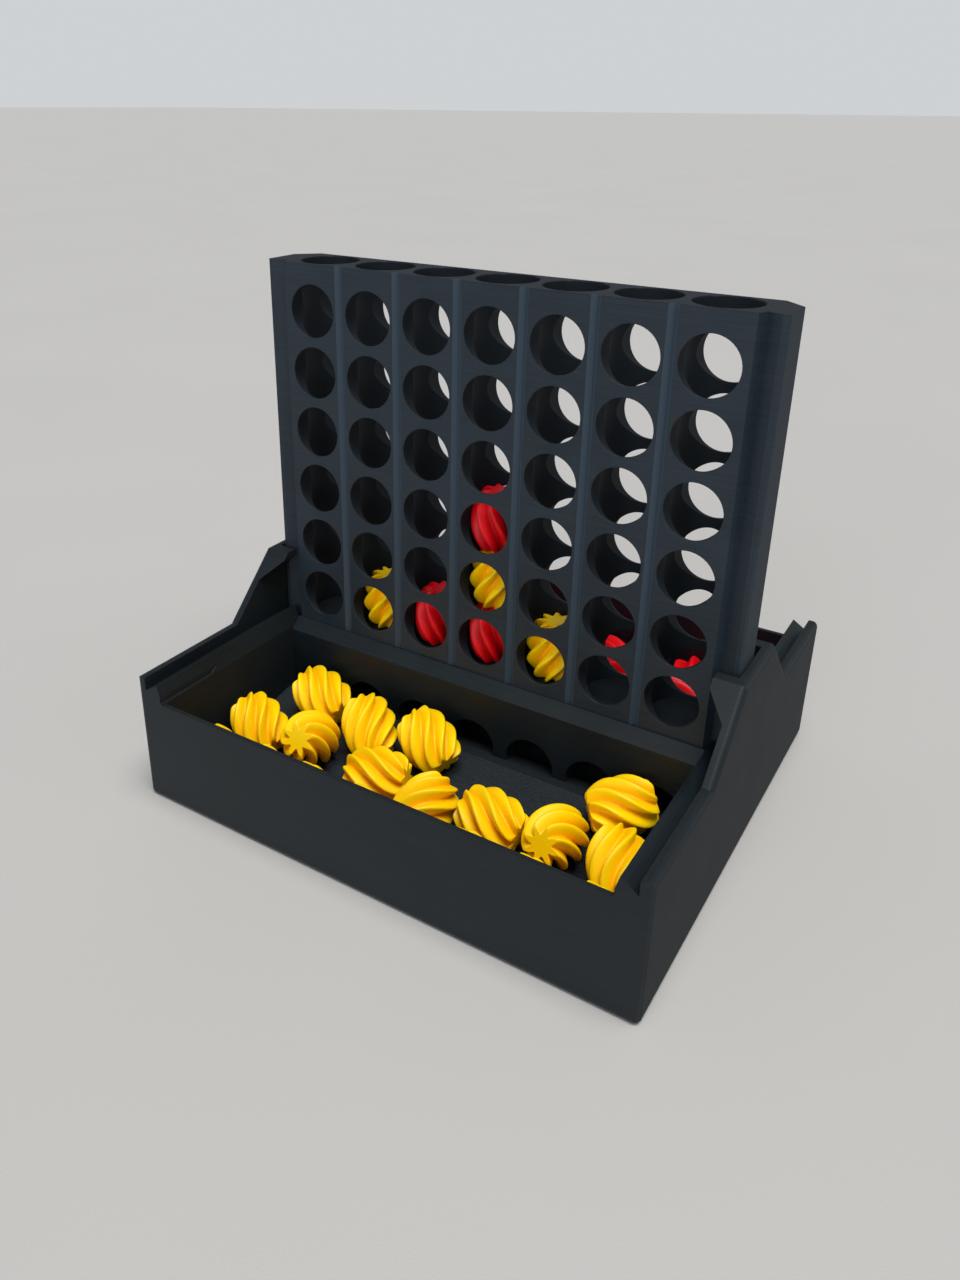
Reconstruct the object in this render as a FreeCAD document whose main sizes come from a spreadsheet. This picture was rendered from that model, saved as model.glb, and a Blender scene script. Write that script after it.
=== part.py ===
"""Four in a row travel set: a storage base, a grid frame that stands in it, and 42 playing pieces.

Millimetres. +Z is up and +X is to the players' right along the frame. The origin is the centre of
the base's flat underside. Front and back (-Y and +Y) are alike, except that the frame has its rail
notches at the front and its chamfered corners at the back.
"""
import FreeCAD, Part
import math
import os
import Sketcher
from FreeCAD import Placement, Rotation, Vector

doc = FreeCAD.newDocument("four_in_a_row")

# ---------------------------------------------------------------- driving dimensions
DIMENSIONS = [
    # alias, value in mm (counts are plain numbers)
    ("columns", 7),
    ("rows", 6),
    ("column_pitch", 25.0),
    ("row_pitch", 23.2),
    ("window_radius", 9.8),
    ("bore_radius", 11.0),
    ("lowest_row", 60.2),          # height of the bottom row's window centres
    ("half_width", 100.6),         # base, outside
    ("half_depth", 90.5),
    ("low_top", 52.5),             # side walls, front and rear stretches
    ("plateau_top", 77.0),         # side walls, shoulder that holds the frame
    ("plateau_half", 16.6),        # half length of the shoulder's flat top, along Y
    ("edge_radius", 2.2),
    ("tray_half_width", 88.6),
    ("end_wall", 1.8),             # front and rear walls
    ("end_wall_top", 43.4),
    ("floor_low", 3.0),            # tray floor at the end walls
    ("floor_high", 16.1),          # tray floor at the middle walls
    ("floor_ledge", 4.0),          # flat strip of floor beside the middle walls
    ("middle_half", 17.05),        # outer faces of the two middle walls, in Y
    ("middle_top", 46.4),
    ("middle_chamfer", 4.35),
    ("trough_half_depth", 12.2),
    ("trough_half_width", 96.6),
    ("trough_floor", 12.4),
    ("arch_height", 18.6),         # centre of the arches in the middle walls
    ("lip_peak_x", 90.6),          # rail: lip, V groove and thin outer wall
    ("lip_peak_z", 51.1),
    ("groove_x", 96.4),
    ("groove_z", 47.4),
    ("shoulder_sum", 163.5),       # the shoulder's 45 degree underside: x + z
    ("shoulder_inner_x", 89.2),
    ("relief_depth", 0.8),         # lead-in at the ends of the lips
    ("relief_low", 44.0),
    ("relief_end", 64.6),
    ("relief_end_top", 59.3),
    ("frame_height", 181.0),
    ("frame_depth", 23.75),
    ("frame_half_width", 96.25),
    ("frame_face_half", 87.5),     # flat front face, up to the rail notch
    ("notch_x", 89.2),
    ("notch_depth", 3.3),
    ("tip_x", 94.0),
    ("tip_depth", 1.25),
    ("tip_chamfer", 0.75),
    ("back_chamfer", 7.3),
    ("flute_half", 1.7),           # V lines between the columns
    ("flute_depth", 1.3),
    ("shelf_top", 48.6),           # where the lowest piece of a column stands
    ("piece_height", 23.1),
    ("piece_radius", 10.7),        # belly, then two narrower corners and the flat end
    ("piece_belly_half", 1.8),     # half height of the belly's straight band
    ("piece_shoulder_radius", 10.1),
    ("piece_shoulder_half", 5.4),
    ("piece_neck_radius", 8.6),
    ("piece_neck_half", 8.8),
    ("piece_end_radius", 6.5),
    ("piece_gap", 0.05),           # air left between a piece and what it rests on
]
sheet = doc.addObject("Spreadsheet::Sheet", "dims")
for line, (alias, value) in enumerate(DIMENSIONS, start=1):
    sheet.set("A%d" % line, alias.replace("_", " "))
    sheet.set("B%d" % line, str(value))
    sheet.setAlias("B%d" % line, alias)
doc.recompute()
size = {alias: value for alias, value in DIMENSIONS}


# ---------------------------------------------------------------- modelling helpers
def origin_plane(body, role):
    """The body's own origin plane with this role, such as XY_Plane."""
    return next(item for item in body.Origin.OriginFeatures if item.Role == role)


def number(formula):
    """A formula's value now, used only as a sketch's starting point."""
    value = sheet.evalExpression(formula)
    return float(getattr(value, "Value", value))


def new_sketch(body, name, role, lift=None):
    """A sketch on one of the body's origin planes, raised off it by a formula if lift is given."""
    sketch = body.newObject("Sketcher::SketchObject", name)
    sketch.AttachmentSupport = (origin_plane(body, role), [""])
    sketch.MapMode = "FlatFace"
    if lift:
        sketch.setExpression("AttachmentOffset.Base.z", lift)
    return sketch


def fix_point(sketch, curve, end, across, up):
    """Holds one point of a sketch at two formulas measured from the origin."""
    for kind, formula in (("DistanceX", across), ("DistanceY", up)):
        where = number(formula)
        if abs(where) < 1e-9:
            axis = -2 if kind == "DistanceX" else -1
            sketch.addConstraint(Sketcher.Constraint("PointOnObject", curve, end, axis))
            continue
        index = sketch.addConstraint(Sketcher.Constraint(kind, -1, 1, curve, end, where))
        sketch.setExpression("Constraints[%d]" % index, formula)


def outline(sketch, corners):
    """A closed outline of straight lines through corners, each a pair of formulas."""
    points = [Vector(number(across), number(up), 0) for across, up in corners]
    first = sketch.GeometryCount
    for here, there in zip(points, points[1:] + points[:1]):
        sketch.addGeometry(Part.LineSegment(here, there), False)
    count = len(points)
    for index in range(count):
        after = (index + 1) % count
        sketch.addConstraint(Sketcher.Constraint("Coincident", first + index, 2, first + after, 1))
    for index, (across, up) in enumerate(corners):
        fix_point(sketch, first + index, 1, across, up)


def circle(sketch, across, up, radius):
    """A circle whose centre and radius follow formulas."""
    shape = Part.Circle(Vector(number(across), number(up), 0), Vector(0, 0, 1), number(radius))
    index = sketch.addGeometry(shape, False)
    fix_point(sketch, index, 3, across, up)
    held = sketch.addConstraint(Sketcher.Constraint("Radius", index, number(radius)))
    sketch.setExpression("Constraints[%d]" % held, radius)


def extrude(body, kind, name, sketch, length, midplane=False, reverse=False):
    """A Pad or a Pocket of a sketch, checked to have changed the body's volume."""
    before = body.Shape.Volume if kind == "Pocket" else 0.0
    feature = body.newObject("PartDesign::" + kind, name)
    feature.Profile = sketch
    feature.Midplane = midplane
    feature.Reversed = reverse
    feature.setExpression("Length", length)
    doc.recompute()
    if abs(feature.Shape.Volume - before) < 1.0:
        raise RuntimeError(name + " changes nothing")
    return feature


def column_x(column):
    """Formula for a column's centre; columns count from 1 at -X."""
    return "(%d - (dims.columns + 1) / 2) * dims.column_pitch" % column


def mirrored(corners):
    """The same outline on the other side of the sketch's vertical axis."""
    return [("-(%s)" % across, up) for across, up in reversed(corners)]


# ---------------------------------------------------------------- storage base
def make_base():
    """One printed tray: two sloped trays, a trough between middle walls, and railed side walls."""
    body = doc.addObject("PartDesign::Body", "base_tray")

    side = new_sketch(body, "base_side_view", "YZ_Plane")
    ramp_foot = "dims.plateau_half + dims.plateau_top - dims.low_top"
    half = [("dims.half_depth", "0"), ("dims.half_depth", "dims.low_top"), (ramp_foot, "dims.low_top"),
            ("dims.plateau_half", "dims.plateau_top")]
    outline(side, half + mirrored(half))
    block = extrude(body, "Pad", "base_block", side, "2 * dims.half_width", midplane=True)

    rounded = body.newObject("PartDesign::Fillet", "base_rounded_edges")
    rounded.Base = (block, outer_edges(block.Shape))
    rounded.setExpression("Radius", "dims.edge_radius")
    doc.recompute()

    inside = new_sketch(body, "base_inside_view", "YZ_Plane")
    inner_end = "dims.half_depth - dims.end_wall"
    half = [("dims.half_depth + 1", "dims.plateau_top + 1"), ("dims.half_depth + 1", "dims.end_wall_top"),
            (inner_end, "dims.end_wall_top"), (inner_end, "dims.floor_low"),
            ("dims.middle_half + dims.floor_ledge", "dims.floor_high"),
            ("dims.middle_half", "dims.floor_high"),
            ("dims.middle_half", "dims.middle_top - dims.middle_chamfer"),
            ("dims.middle_half - dims.middle_chamfer", "dims.middle_top")]
    outline(inside, half[::-1] + mirrored(half[::-1]))
    extrude(body, "Pocket", "base_trays", inside, "2 * dims.tray_half_width", midplane=True)

    rails = new_sketch(body, "base_rails", "XZ_Plane")
    side_cut = [("dims.tray_half_width", "dims.end_wall_top"), ("dims.lip_peak_x", "dims.lip_peak_z"),
                ("dims.groove_x", "dims.groove_z"), ("dims.trough_half_width", "dims.groove_z"),
                ("dims.trough_half_width", "dims.shoulder_sum - dims.trough_half_width"),
                ("dims.shoulder_inner_x", "dims.shoulder_sum - dims.shoulder_inner_x"),
                ("dims.shoulder_inner_x", "dims.plateau_top + 1"),
                ("dims.tray_half_width", "dims.plateau_top + 1")]
    outline(rails, side_cut)
    outline(rails, mirrored(side_cut))
    extrude(body, "Pocket", "base_rail_cut", rails, "2 * dims.half_depth + 2", midplane=True)

    trough = new_sketch(body, "base_trough", "XY_Plane", "dims.trough_floor")
    outline(trough, [("dims.trough_half_width", "dims.trough_half_depth"),
                     ("-dims.trough_half_width", "dims.trough_half_depth"),
                     ("-dims.trough_half_width", "-dims.trough_half_depth"),
                     ("dims.trough_half_width", "-dims.trough_half_depth")])
    extrude(body, "Pocket", "base_trough_cut", trough, "dims.plateau_top", reverse=True)

    arches = new_sketch(body, "base_arches", "XZ_Plane")
    for column in range(1, int(size["columns"]) + 1):
        arch(arches, column_x(column), "dims.arch_height", "dims.window_radius", "dims.floor_high")
    extrude(body, "Pocket", "base_arch_cut", arches, "2 * dims.middle_half", midplane=True)

    relief = new_sketch(body, "base_lead_in", "YZ_Plane")
    lead_in = [("dims.half_depth + 1", "dims.relief_low"), ("dims.half_depth + 1", "dims.low_top"),
               ("dims.relief_end_top", "dims.low_top"),
               ("dims.relief_end_top", "dims.relief_low + 3.3"),
               ("dims.relief_end", "dims.relief_low")]
    outline(relief, lead_in)
    outline(relief, mirrored(lead_in))
    extrude(body, "Pocket", "base_lead_in_cut", relief, "2 * (dims.tray_half_width + dims.relief_depth)",
            midplane=True)
    return body


def outer_edges(shape):
    """Names of the edges to round: the outlines of both side faces and the edges under the ends."""
    names = []
    for index, edge in enumerate(shape.Edges, start=1):
        box = edge.BoundBox
        on_side = box.XLength < 0.01
        under_end = box.ZLength < 0.01 and box.YLength < 0.01 and box.ZMax < 0.01
        if on_side or under_end:
            names.append("Edge%d" % index)
    return names


def arch(sketch, across, up, radius, foot):
    """A round-headed opening: the part of a circle above a level foot line."""
    centre = Vector(number(across), number(up), 0)
    reach = number(radius)
    drop = centre.y - number(foot)
    below = math.asin(drop / reach)
    arc = Part.ArcOfCircle(Part.Circle(centre, Vector(0, 0, 1), reach), -below, math.pi + below)
    curve = sketch.addGeometry(arc, False)
    line = sketch.addGeometry(Part.LineSegment(arc.EndPoint, arc.StartPoint), False)
    sketch.addConstraint(Sketcher.Constraint("Coincident", curve, 2, line, 1))
    sketch.addConstraint(Sketcher.Constraint("Coincident", line, 2, curve, 1))
    sketch.addConstraint(Sketcher.Constraint("Horizontal", line))
    fix_point(sketch, curve, 3, across, up)
    held = sketch.addConstraint(Sketcher.Constraint("Radius", curve, reach))
    sketch.setExpression("Constraints[%d]" % held, radius)
    level = sketch.addConstraint(Sketcher.Constraint("DistanceY", -1, 1, line, 1, number(foot)))
    sketch.setExpression("Constraints[%d]" % level, foot)


# ---------------------------------------------------------------- grid frame
def make_frame():
    """One printed grid: seven upright bores down to a shelf, six rows of windows and foot openings."""
    body = doc.addObject("PartDesign::Body", "grid_frame")
    front = "-dims.frame_depth / 2"
    back = "dims.frame_depth / 2"

    plan = new_sketch(body, "frame_plan", "XY_Plane")
    right = [("dims.frame_face_half", front), ("dims.notch_x", front + " + dims.notch_depth"),
             ("dims.tip_x", front + " + dims.tip_depth"),
             ("dims.frame_half_width - dims.tip_chamfer", front + " + dims.tip_depth"),
             ("dims.frame_half_width", front + " + dims.tip_depth + dims.tip_chamfer"),
             ("dims.frame_half_width", back + " - dims.back_chamfer"),
             ("dims.frame_half_width - dims.back_chamfer", back)]
    lines = []
    for gap in range(1, int(size["columns"])):
        middle = "(%d - dims.columns / 2) * dims.column_pitch" % gap
        lines += [(middle + " - dims.flute_half", front), (middle, front + " + dims.flute_depth"),
                  (middle + " + dims.flute_half", front)]
    outline(plan, right + mirrored(right) + lines)
    extrude(body, "Pad", "frame_block", plan, "dims.frame_height")

    bores = new_sketch(body, "frame_bores", "XY_Plane", "dims.shelf_top - dims.trough_floor")
    for column in range(1, int(size["columns"]) + 1):
        circle(bores, column_x(column), "0", "dims.bore_radius")
    extrude(body, "Pocket", "frame_bore_cut", bores, "dims.frame_height", reverse=True)

    windows = new_sketch(body, "frame_windows", "XZ_Plane")
    for column in range(1, int(size["columns"]) + 1):
        circle(windows, column_x(column), "dims.arch_height - dims.trough_floor", "dims.window_radius")
        for row in range(int(size["rows"])):
            height = "dims.lowest_row - dims.trough_floor + %d * dims.row_pitch" % row
            circle(windows, column_x(column), height, "dims.window_radius")
    extrude(body, "Pocket", "frame_window_cut", windows, "2 * dims.frame_depth", midplane=True)
    body.setExpression("Placement.Base.z", "dims.trough_floor")
    return body


# ---------------------------------------------------------------- playing pieces
# Half of a piece's side view, from the flat end down to the belly: radius and height.
PIECE_SIDE = [("piece_end_radius", "piece_height / 2"), ("piece_neck_radius", "piece_neck_half"),
              ("piece_shoulder_radius", "piece_shoulder_half"), ("piece_radius", "piece_belly_half")]


def make_piece(name, placement):
    """A barrel-shaped playing piece with flat ends, turned about its own Z axis."""
    body = doc.addObject("PartDesign::Body", name)
    half = new_sketch(body, name + "_half", "XZ_Plane")
    upper = [("dims." + radius, "dims." + height) for radius, height in PIECE_SIDE]
    lower = [(radius, "-" + height) for radius, height in reversed(upper)]
    end = "dims.piece_height / 2"
    outline(half, [("0", end)] + upper + lower + [("0", "-" + end)])
    turned = body.newObject("PartDesign::Revolution", name + "_turned")
    turned.Profile = half
    turned.ReferenceAxis = (half, ["V_Axis"])
    turned.Angle = 360.0
    body.Placement = placement
    return body


def in_column(column, row):
    """Placement of a piece standing in a column; row 1 is the lowest."""
    across = (column - (size["columns"] + 1) / 2) * size["column_pitch"]
    foot = size["shelf_top"] + size["piece_gap"] + (row - 1) * (size["piece_height"] + size["piece_gap"])
    return Placement(Vector(across, 0, foot + size["piece_height"] / 2), Rotation())


def in_tray(x, y, turn, tilt):
    """Placement of a piece lying on a tray's sloped floor.

    turn is the direction of the piece's own axis in plan, from +X, and tilt its rise above level.
    """
    run = size["half_depth"] - size["end_wall"] - size["middle_half"] - size["floor_ledge"]
    slope = math.atan2(size["floor_high"] - size["floor_low"], run)
    from_ledge = size["middle_half"] + size["floor_ledge"] - abs(y)
    floor = size["floor_high"] + from_ledge * math.tan(slope)
    turned = Rotation(Vector(0, 0, 1), turn) * Rotation(Vector(0, 1, 0), 90 - tilt)
    upward = Vector(0, math.copysign(math.sin(slope), y), math.cos(slope))
    lean = abs(math.asin(turned.multVec(Vector(0, 0, 1)).dot(upward)))
    reach = max(number("dims." + radius) * math.cos(lean) + number("dims." + height) * math.sin(lean)
                for radius, height in PIECE_SIDE)
    return Placement(Vector(x, y, floor + (reach + size["piece_gap"]) / math.cos(slope)), turned)


# Pieces already played: colour, column, row (row 1 is the lowest).
PLAYED = [("yellow", 2, 1), ("red", 3, 1), ("red", 4, 1), ("yellow", 4, 2), ("red", 4, 3), ("yellow", 5, 1)]

# Pieces still in the trays: x, y, turn and tilt.
FRONT_TRAY = [
    (-74.3, -55.3, -19, -27), (-62.1, -30.8, -10, -18), (-50.0, -53.5, -79, 30), (-33.9, -37.4, -41, -30),
    (-16.9, -56.0, 15, 4), (-9.2, -33.3, -19, -27), (6.9, -60.8, 83, 12), (30.5, -55.1, -3, -8),
    (54.0, -52.8, -91, 20), (67.6, -30.0, 37, 9), (76.6, -52.6, 116, 18),
    (-77.4, -77.3, -90, 79), (-55.6, -77.3, -90, 79), (-33.7, -77.3, -90, 79), (-11.0, -77.3, -90, 79),
    (32.4, -77.3, -90, 79), (54.9, -77.3, -90, 79), (77.4, -77.3, -90, 79),
]
REAR_TRAY = [
    (56.5, 48.0, -20, 0), (18.2, 73.5, -54, 6), (-73.7, 30.1, 21, 0), (-46.0, 30.9, -41, -8),
    (-16.4, 30.9, -63, -8), (12.0, 33.0, 22, 6), (39.0, 30.1, -6, -8), (74.9, 29.1, -24, 6),
    (-76.1, 54.1, 57, 0), (-51.4, 54.6, -10, -8), (-26.1, 54.3, -53, 0), (-0.6, 54.8, -26, -8),
    (32.7, 52.4, -14, 0), (74.9, 62.2, -31, -8),
    (-68.9, 77.5, -1, 0), (-38.8, 75.6, 80, 6), (-8.5, 77.1, 15, -8), (54.7, 75.4, 75, 0),
]


def make_pieces():
    """All 42 pieces, numbered by colour: the played ones first, then the ones in the trays."""
    made = []
    count = {"yellow": 0, "red": 0}
    where = [(colour, in_column(column, row)) for colour, column, row in PLAYED]
    where += [("yellow", in_tray(*spot)) for spot in FRONT_TRAY]
    where += [("red", in_tray(*spot)) for spot in REAR_TRAY]
    for colour, placement in where:
        count[colour] += 1
        made.append(make_piece("%s_piece_%02d" % (colour, count[colour]), placement))
    return made


# ---------------------------------------------------------------- build, check and write
parts = [make_base(), make_frame()] + make_pieces()
doc.recompute()
for item in doc.Objects:
    if "Invalid" in item.State or "Error" in item.State:
        raise RuntimeError("%s failed: %s" % (item.Name, item.State))
os.makedirs("parts", exist_ok=True)
for part in parts:
    part.Label = part.Name
    if part.Shape.isNull() or not part.Shape.isValid() or len(part.Shape.Solids) != 1:
        raise RuntimeError(part.Label + " has a bad shape")
for part in parts:
    part.Shape.exportStep(os.path.join("parts", part.Label + ".step"))
print("parts written:", len(parts))
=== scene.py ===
import math
import random

import bpy
from mathutils import Matrix, Vector


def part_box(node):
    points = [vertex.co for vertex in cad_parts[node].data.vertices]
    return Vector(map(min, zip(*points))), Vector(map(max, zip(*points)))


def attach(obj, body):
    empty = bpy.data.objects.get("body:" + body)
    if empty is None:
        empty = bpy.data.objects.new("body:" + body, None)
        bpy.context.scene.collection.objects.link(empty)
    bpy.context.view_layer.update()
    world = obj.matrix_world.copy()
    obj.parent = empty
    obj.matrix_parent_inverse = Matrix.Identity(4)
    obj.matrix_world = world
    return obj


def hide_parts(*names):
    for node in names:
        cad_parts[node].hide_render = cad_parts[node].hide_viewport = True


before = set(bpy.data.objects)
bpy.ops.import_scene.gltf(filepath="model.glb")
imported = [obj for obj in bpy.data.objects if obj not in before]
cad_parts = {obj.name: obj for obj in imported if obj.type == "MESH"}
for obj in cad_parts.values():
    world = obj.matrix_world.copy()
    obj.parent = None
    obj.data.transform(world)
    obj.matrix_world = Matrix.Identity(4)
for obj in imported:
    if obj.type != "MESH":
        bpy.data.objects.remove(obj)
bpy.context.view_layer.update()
scene = bpy.context.scene
MM = 0.001

# ---------------------------------------------------------------- camera
CAMERA_PLACE = Vector((165.3, -303.5, 247.6)) * MM
CAMERA_LOOK = Vector((-0.494, 0.777, -0.391))
CAMERA_LENS = 28.47            # mm, on a 36 mm sensor along the picture's long side
CAMERA_SHIFT = (0.0341, -0.0845)
CAMERA_ROLL = math.radians(0.4)


def add_camera():
    data = bpy.data.cameras.new("camera")
    data.lens = CAMERA_LENS
    data.sensor_width = 36.0
    data.shift_x, data.shift_y = CAMERA_SHIFT
    data.clip_start = 0.01
    camera = bpy.data.objects.new("camera", data)
    scene.collection.objects.link(camera)
    camera.location = CAMERA_PLACE
    camera.rotation_mode = "QUATERNION"
    level = CAMERA_LOOK.to_track_quat("-Z", "Y").to_matrix()
    camera.rotation_quaternion = (level @ Matrix.Rotation(CAMERA_ROLL, 3, "Z")).to_quaternion()
    scene.camera = camera


# ---------------------------------------------------------------- lights and floor
# Each sun: where it shines from, how many degrees it spreads over, strength and colour.
SUNS = {
    "key": ((0.20, -0.12, 1.0), 35, 3.1, (1.0, 0.98, 0.95)),
    "front": ((0.05, -1.0, 0.42), 30, 0.75, (0.90, 0.95, 1.0)),
}
# The sky's colour at two heights, where 0 is the horizon and 1 is straight up.
SKY_LOW = (0.08, (0.62, 0.64, 0.66, 1))
SKY_HIGH = (0.75, (0.10, 0.11, 0.125, 1))
FLOOR_HALF = 30.0         # m
FLOOR_CLOUD = 0.004       # cycles per mm
FLOOR_GRAIN = 1.5
FLOOR_TONES = ((0.44, 0.435, 0.425), (0.475, 0.47, 0.46))


def sun(name, place, spread, strength, colour):
    """A sun shining from place towards the origin, soft by spread degrees."""
    data = bpy.data.lights.new(name, "SUN")
    data.energy = strength
    data.angle = math.radians(spread)
    data.color = colour
    light = bpy.data.objects.new(name, data)
    scene.collection.objects.link(light)
    light.rotation_mode = "QUATERNION"
    light.rotation_quaternion = (-Vector(place)).to_track_quat("-Z", "Y")


def add_studio():
    world = bpy.data.worlds.new("studio")
    scene.world = world
    world.use_nodes = True
    nodes, links = world.node_tree.nodes, world.node_tree.links
    ramp = nodes.new("ShaderNodeValToRGB")
    height = nodes.new("ShaderNodeSeparateXYZ")
    links.new(nodes.new("ShaderNodeTexCoord").outputs["Generated"], height.inputs[0])
    links.new(height.outputs["Z"], ramp.inputs["Fac"])
    links.new(ramp.outputs["Color"], nodes["Background"].inputs["Color"])
    for stop, (position, colour) in zip(ramp.color_ramp.elements, (SKY_LOW, SKY_HIGH)):
        stop.position, stop.color = position, colour
    nodes["Background"].inputs["Strength"].default_value = 1.0
    for name, (place, spread, strength, colour) in SUNS.items():
        sun(name, place, spread, strength, colour)


def add_floor():
    mesh = bpy.data.meshes.new("floor")
    corners = [(x * FLOOR_HALF, y * FLOOR_HALF, 0) for x, y in ((-1, -1), (1, -1), (1, 1), (-1, 1))]
    mesh.from_pydata(corners, [], [(0, 1, 2, 3)])
    floor = bpy.data.objects.new("floor", mesh)
    scene.collection.objects.link(floor)
    mesh.materials.append(floor_paint())


# ---------------------------------------------------------------- materials
class Surface:
    """A material and short ways to add and join its nodes."""

    def __init__(self, name):
        self.material = bpy.data.materials.new(name)
        self.material.use_nodes = True
        self.tree = self.material.node_tree
        self.shader = self.tree.nodes["Principled BSDF"]

    def put(self, socket, value):
        if isinstance(value, bpy.types.NodeSocket):
            self.tree.links.new(value, socket)
        else:
            socket.default_value = value

    def set(self, **values):
        for name, value in values.items():
            self.put(self.shader.inputs[name.replace("_", " ")], value)

    def math(self, operation, first, second=0.0):
        node = self.tree.nodes.new("ShaderNodeMath")
        node.operation = operation
        self.put(node.inputs[0], first)
        self.put(node.inputs[1], second)
        return node.outputs[0]

    def within(self, value, low, high):
        """0 at low, 1 at high, clamped and linear between."""
        node = self.tree.nodes.new("ShaderNodeMapRange")
        self.put(node.inputs["Value"], value)
        self.put(node.inputs["From Min"], low)
        self.put(node.inputs["From Max"], high)
        return node.outputs["Result"]

    def mix(self, amount, first, second):
        node = self.tree.nodes.new("ShaderNodeMix")
        node.data_type = "RGBA"
        self.put(node.inputs["Factor"], amount)
        for socket, value in ((node.inputs[6], first), (node.inputs[7], second)):
            self.put(socket, value if isinstance(value, bpy.types.NodeSocket) else (*value, 1))
        return node.outputs[2]

    def place(self):
        """Object coordinates in millimetres."""
        node = self.tree.nodes.new("ShaderNodeTexCoord")
        scaled = self.tree.nodes.new("ShaderNodeVectorMath")
        scaled.operation = "SCALE"
        self.put(scaled.inputs[0], node.outputs["Object"])
        scaled.inputs["Scale"].default_value = 1 / MM
        return scaled.outputs[0]

    def split(self, vector):
        node = self.tree.nodes.new("ShaderNodeSeparateXYZ")
        self.put(node.inputs[0], vector)
        return node.outputs

    def facing(self):
        """The surface's own direction, as separate X, Y and Z."""
        return self.split(self.tree.nodes.new("ShaderNodeTexCoord").outputs["Normal"])

    def times(self, first, *others):
        for other in others:
            first = self.math("MULTIPLY", first, other)
        return first

    def noise(self, vector, cycles, detail):
        """Noise with about the given cycles per millimetre along each axis."""
        mapping = self.tree.nodes.new("ShaderNodeMapping")
        self.put(mapping.inputs["Vector"], vector)
        mapping.inputs["Scale"].default_value = cycles
        node = self.tree.nodes.new("ShaderNodeTexNoise")
        self.put(node.inputs["Vector"], mapping.outputs[0])
        node.inputs["Scale"].default_value = 1.0
        node.inputs["Detail"].default_value = detail
        return node.outputs[0]

    def bump(self, height, depth, normal=None):
        """Bump of depth millimetres for a height between 0 and 1."""
        node = self.tree.nodes.new("ShaderNodeBump")
        node.inputs["Strength"].default_value = 1.0
        node.inputs["Distance"].default_value = depth * MM
        self.put(node.inputs["Height"], height)
        if normal is not None:
            self.put(node.inputs["Normal"], normal)
        return node.outputs[0]

    def soft_edges(self, radius):
        node = self.tree.nodes.new("ShaderNodeBevel")
        node.samples = 4
        node.inputs["Radius"].default_value = radius * MM
        return node.outputs[0]


# Noise cycles per mm along X, Y and Z.
LAYER_LINES = (0.03, 0.03, 2.6)
CLOUD = (0.05, 0.05, 0.05)
RASTER = (1.1, 1.1, 0.2)
# Where a face's direction starts to count as such, and where it does so fully.
LEVEL = (0.985, 0.999)    # upwards
SIDEWAYS = (0.80, 0.98)   # along X
SLANTED = (0.50, 0.58)    # along X, for the walls of the V lines between the columns, which get painted light
FORWARD = (-0.70, -0.78)  # along Y, for the same walls
LOOKS_OUT = (4.0, 2.0)    # mm, Y times the face's Y direction: high on the block's outer faces

LAYER_SHARE = 0.55        # share of the layer lines in the tone, the rest is cloud
RASTER_DARK = 0.65        # darker tone of the raster
V_LINE_PAINTED_LIGHT = 2.0         # painted light: the walls of the V lines are lighter
INSIDE_PAINTED_SHADE = 0.45        # painted shade: inner surfaces are darker
ROUGHNESS, ROUGHNESS_SPREAD = 0.40, 0.16
LEVEL_DULLNESS = 0.28     # roughness added on level faces and on the sides
INSIDE_DULLNESS = 0.30
PRINT_SHINE = 0.30
EDGE_RADIUS = 0.3         # mm
LAYER_DEPTH, RASTER_DEPTH = 0.05, 0.12  # mm


def scaled(colour, factor):
    return tuple(factor * part for part in colour)


def printed_plastic(name, dark, light, top_tone, inside=None):
    """Charcoal print: layer lines on upright faces and a finer raster on level ones.

    top_tone multiplies light on level faces. inside holds the X and Y half sizes and the top of
    a block with V lines in its front, whose inner surfaces are duller and get painted shade,
    and whose V line walls get painted light.
    """
    skin = Surface(name)
    place = skin.place()
    layers = skin.noise(place, LAYER_LINES, 3.0)
    cloud = skin.noise(place, CLOUD, 4.0)
    raster = skin.noise(place, RASTER, 2.0)
    facing = skin.facing()
    level = skin.within(facing[2], *LEVEL)
    along_x = skin.math("ABSOLUTE", facing[0])
    sideways = skin.within(along_x, *SIDEWAYS)

    tone = skin.math("ADD", skin.times(layers, LAYER_SHARE), skin.times(cloud, 1 - LAYER_SHARE))
    upright = skin.mix(skin.within(tone, 0.38, 0.62), dark, light)
    top = skin.mix(skin.within(raster, 0.4, 0.6), scaled(light, RASTER_DARK * top_tone),
                   scaled(light, top_tone))
    colour = skin.mix(level, upright, top)
    roughness = skin.math("ADD", ROUGHNESS, skin.times(cloud, ROUGHNESS_SPREAD))
    duller = skin.times(skin.math("MAXIMUM", level, sideways), LEVEL_DULLNESS)
    if inside:
        x, y, z = skin.split(place)
        # painted shade: the block's inner surfaces are darker, and also duller
        inner_shade_and_dullness = skin.times(
            skin.within(skin.math("ABSOLUTE", x), inside[0], inside[0] - 0.4),
            skin.within(skin.math("ABSOLUTE", y), inside[1], inside[1] - 0.4),
            skin.within(z, inside[2], inside[2] - 0.6),
            skin.within(skin.times(y, facing[1]), *LOOKS_OUT))
        # painted light: the walls of the V lines get a lighter tone
        v_line_light = skin.times(skin.within(along_x, *SLANTED), skin.within(facing[1], *FORWARD))
        colour = skin.mix(v_line_light, colour, scaled(light, V_LINE_PAINTED_LIGHT))
        colour = skin.mix(inner_shade_and_dullness, colour, scaled(dark, INSIDE_PAINTED_SHADE))
        duller = skin.math("MAXIMUM", duller, skin.times(inner_shade_and_dullness, INSIDE_DULLNESS))
    lined = skin.bump(layers, LAYER_DEPTH, skin.soft_edges(EDGE_RADIUS))
    rough = skin.bump(skin.times(raster, level), RASTER_DEPTH, lined)
    skin.set(Base_Color=colour, Roughness=skin.math("ADD", roughness, duller), Normal=rough,
             Specular_IOR_Level=PRINT_SHINE)
    return skin.material


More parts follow.
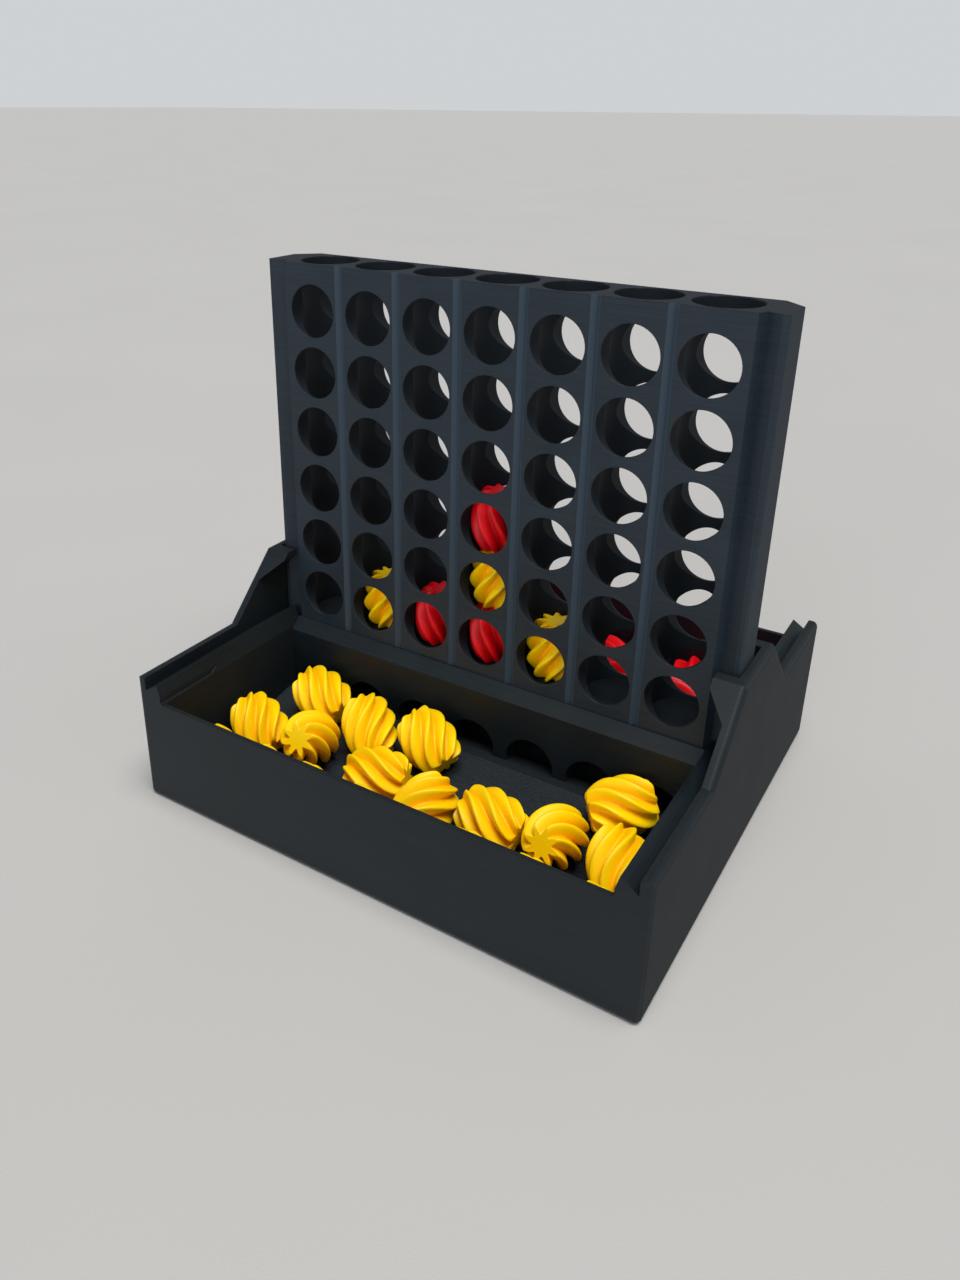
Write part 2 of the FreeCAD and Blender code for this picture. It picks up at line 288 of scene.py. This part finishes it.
GROOVE_SHADE_START = 1.3        # mm below the crests, where the grooves' painted shade starts
END_FACE = (0.35, 0.15)   # mm from the flat ends, which keep the crests' colour with no painted shade
PIECE_LAYERS = (0.2, 0.2, 3.0)      # cycles per mm
PIECE_MOTTLE = (0.25, 0.25, 0.25)
MOTTLE_SHARE = 0.18
PIECE_SHINE = 0.28


def piece_plastic(name, crest, groove_shade_and_mottle):
    """Glossy print, with painted shade that makes it deeper in colour down in the grooves."""
    skin = Surface(name)
    place = skin.place()
    x, y, z = skin.split(place)
    across = skin.math("SQRT", skin.math("ADD", skin.times(x, x), skin.times(y, y)))
    from_middle = skin.math("ABSOLUTE", skin.math("DIVIDE", z, HALF_LENGTH))
    closing = skin.times(skin.math("POWER", from_middle, BARREL_POWER), PIECE_RADIUS - END_RADIUS)
    sunk = skin.math("SUBTRACT", skin.math("SUBTRACT", PIECE_RADIUS, closing), across)
    near_end = skin.within(skin.math("ABSOLUTE", z), *(HALF_LENGTH - off for off in END_FACE))
    # painted shade: the grooves take the deeper tone
    painted_groove_shade = skin.times(skin.within(sunk, GROOVE_SHADE_START, GROOVE_DEPTH),
                           skin.math("SUBTRACT", 1.0, near_end))
    layers = skin.noise(place, PIECE_LAYERS, 2.0)
    mottle = skin.noise(place, PIECE_MOTTLE, 3.0)
    colour = skin.mix(painted_groove_shade, crest, groove_shade_and_mottle)
    colour = skin.mix(skin.times(skin.within(mottle, 0.35, 0.7), MOTTLE_SHARE), colour, groove_shade_and_mottle)
    roughness = skin.math("ADD", 0.34, skin.times(layers, 0.16))
    skin.set(Base_Color=colour, Roughness=roughness, Normal=skin.bump(layers, 0.03),
             Specular_IOR_Level=PIECE_SHINE)
    return skin.material


def floor_paint():
    skin = Surface("floor_paint")
    place = skin.place()
    cloud = skin.noise(place, (FLOOR_CLOUD,) * 3, 3.0)
    grain = skin.noise(place, (FLOOR_GRAIN,) * 3, 2.0)
    skin.set(Base_Color=skin.mix(cloud, *FLOOR_TONES), Roughness=0.6,
             Normal=skin.bump(grain, 0.05))
    return skin.material


# ---------------------------------------------------------------- playing pieces
LOBES = 8
LOBE_STEPS = 14
RINGS = 30
PIECE_RADIUS = 10.7       # mm, over the crests at the belly
END_RADIUS = 6.9          # mm, over the crests at the ends, before they round off
HALF_LENGTH = 11.55       # mm
BARREL_POWER = 2.2        # how the barrel closes towards its ends
GROOVE_DEPTH = 3.9        # mm at the belly
END_DEPTH = 3.4           # mm at the flat ends
RIDGE_SHARE = 0.90        # share of the pitch that a ridge takes at its foot
BULGE = 0.35              # how much fuller the ridges are at the belly than at the ends
END_ROUND = 1.0           # mm, how the ridges round off at the flat ends
END_SHARES = (0.0, 0.08, 0.3, 0.6, 1.0)  # where the rings of that rounding lie
YELLOW_TWIST = math.radians(111)  # from end to end
RED_TWIST = math.radians(-74)
YELLOW_TONES = ((1.0, 0.67, 0.0), (1.0, 0.49, 0.0))  # crests, and the grooves' painted shade, which the mottle also mixes in
# crests, and the grooves' painted shade, which the mottle also mixes in
RED_TONES = ((0.74, 0.002, 0.008), (0.50, 0.0, 0.003))


def piece_place(node):
    """Centre and long axis of a playing piece, read from its CAD node."""
    low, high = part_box(node)
    groups = {}
    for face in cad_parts[node].data.polygons:
        key = tuple(round(value, 2) for value in face.normal)
        area, total = groups.get(key, (0.0, Vector()))
        groups[key] = (area + face.area, total + face.normal * face.area)
    axis = max(groups.values(), key=lambda group: group[0])[1].normalized()
    if axis.dot(Vector((0.3, -0.8, 0.5))) < 0:
        axis.negate()
    return (Vector(low) + Vector(high)) / 2, axis


def barrel_rings():
    """Height and crest radius of each ring, in mm, closer together where the ends are rounded."""
    near = [share * END_ROUND for share in END_SHARES]
    between = 2 * HALF_LENGTH - 2 * END_ROUND
    spread = [END_ROUND + between * ring / RINGS for ring in range(1, RINGS)]
    heights = near + spread + [2 * HALF_LENGTH - value for value in reversed(near)]
    rings = []
    for height in heights:
        z = height - HALF_LENGTH
        closing = (PIECE_RADIUS - END_RADIUS) * abs(z / HALF_LENGTH) ** BARREL_POWER
        rings.append((z, PIECE_RADIUS - closing))
    return rings


def piece_mesh(name, twist):
    """A barrel with rounded ridges twisted about Z, and flat star-shaped ends."""
    around = LOBES * LOBE_STEPS
    rings = barrel_rings()
    points, faces = [], []
    for z, reach in rings:
        turn = z / (2 * HALF_LENGTH) * twist
        to_end = min(1, (HALF_LENGTH - abs(z)) / END_ROUND)
        inset = END_ROUND * (1 - math.sqrt(1 - (1 - to_end) ** 2))
        fullness = (reach - END_RADIUS) / (PIECE_RADIUS - END_RADIUS)
        depth = END_DEPTH + (GROOVE_DEPTH - END_DEPTH) * fullness
        for step in range(around):
            angle = 2 * math.pi * step / around
            off = abs((step / LOBE_STEPS + 0.5) % 1 - 0.5) * 2
            ridge = 0.5 + 0.5 * math.cos(math.pi * min(1, off / RIDGE_SHARE))
            ridge **= 1 - BULGE * fullness
            radius = (reach - inset * ridge - depth * (1 - ridge)) * MM
            points.append((radius * math.cos(angle + turn), radius * math.sin(angle + turn),
                           z * MM))
    for ring in range(len(rings) - 1):
        for step in range(around):
            after = (step + 1) % around
            a, b = ring * around + step, ring * around + after
            faces.append((a, b, b + around, a + around))
    foot = len(points)
    points += [(0, 0, -HALF_LENGTH * MM), (0, 0, HALF_LENGTH * MM)]
    last = (len(rings) - 1) * around
    for step in range(around):
        after = (step + 1) % around
        faces.append((foot, after, step))
        faces.append((foot + 1, last + step, last + after))
    mesh = bpy.data.meshes.new(name)
    mesh.from_pydata(points, [], faces)
    mesh.polygons.foreach_set("use_smooth", [len(face) == 4 for face in faces])
    mesh.update()
    return mesh


def add_pieces():
    looks = {
        "yellow": (piece_mesh("yellow_twist", YELLOW_TWIST),
                   piece_plastic("yellow_plastic", *YELLOW_TONES)),
        "red": (piece_mesh("red_twist", RED_TWIST), piece_plastic("red_plastic", *RED_TONES)),
    }
    rolls = random.Random(7)
    for node in sorted(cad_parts):
        colour = node.split("_")[0]
        if colour not in looks:
            continue
        mesh, material = looks[colour]
        if not mesh.materials:
            mesh.materials.append(material)
        centre, axis = piece_place(node)
        side = axis.orthogonal().normalized()
        turn = Matrix((side, axis.cross(side), axis)).transposed().to_4x4()
        roll = Matrix.Rotation(rolls.uniform(0, 2 * math.pi / LOBES), 4, "Z")
        piece = bpy.data.objects.new(node + "_twist", mesh)
        scene.collection.objects.link(piece)
        piece.matrix_world = Matrix.Translation(centre) @ turn @ roll
        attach(piece, node)
        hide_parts(node)


# ---------------------------------------------------------------- tray floors
FLOOR_HALF_WIDTH = 88.5   # mm
FLOOR_LOW = (88.6, 3.02)  # distance from the middle and height of the sloped floors' ends
FLOOR_HIGH = (21.05, 16.1)
LAYER = 0.2               # mm, height of one print layer
FLOOR_DARK, FLOOR_LIGHT, FLOOR_TOP = (0.001, 0.0015, 0.002), (0.014, 0.020, 0.026), 1.3


def add_floor_steps():
    """The stairs that print layers leave on the two sloped tray floors."""
    plastic = printed_plastic("floor_charcoal", FLOOR_DARK, FLOOR_LIGHT, FLOOR_TOP)
    count = round((FLOOR_HIGH[1] - FLOOR_LOW[1]) / LAYER)
    for name, side in (("front_tray_steps", -1), ("rear_tray_steps", 1)):
        points, faces = [], []
        for step in range(count):
            top = FLOOR_HIGH[1] - LAYER * step
            near, far = (FLOOR_HIGH[0] + (FLOOR_LOW[0] - FLOOR_HIGH[0]) * part / count
                         for part in (step, step + 1))
            for y, z in ((near, top), (far, top), (far, top - LAYER)):
                for x in (-FLOOR_HALF_WIDTH, FLOOR_HALF_WIDTH):
                    points.append((x * MM, side * y * MM, z * MM))
            first = 6 * step
            for row in (first, first + 2):
                face = (row, row + 1, row + 3, row + 2)
                faces.append(face[::-1] if side < 0 else face)
        mesh = bpy.data.meshes.new(name)
        mesh.from_pydata(points, [], faces)
        mesh.materials.append(plastic)
        steps = bpy.data.objects.new(name, mesh)
        scene.collection.objects.link(steps)
        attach(steps, "base_tray")


# ---------------------------------------------------------------- making
add_camera()
add_studio()
add_floor()
grid_top = max(vertex.co.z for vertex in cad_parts["grid_frame"].data.vertices) / MM
plastics = {
    "base_tray": printed_plastic("base_charcoal", (0.0035, 0.0075, 0.0105),
                                 (0.0065, 0.012, 0.016), 0.8),
    "grid_frame": printed_plastic("frame_charcoal", (0.011, 0.020, 0.030),
                                  (0.018, 0.029, 0.042), 0.45,
                                  inside=(87.0, 11.7, grid_top - 0.05)),
}
for node, plastic in plastics.items():
    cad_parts[node].data.materials[0] = plastic
add_floor_steps()
add_pieces()
scene.view_settings.view_transform = "Standard"
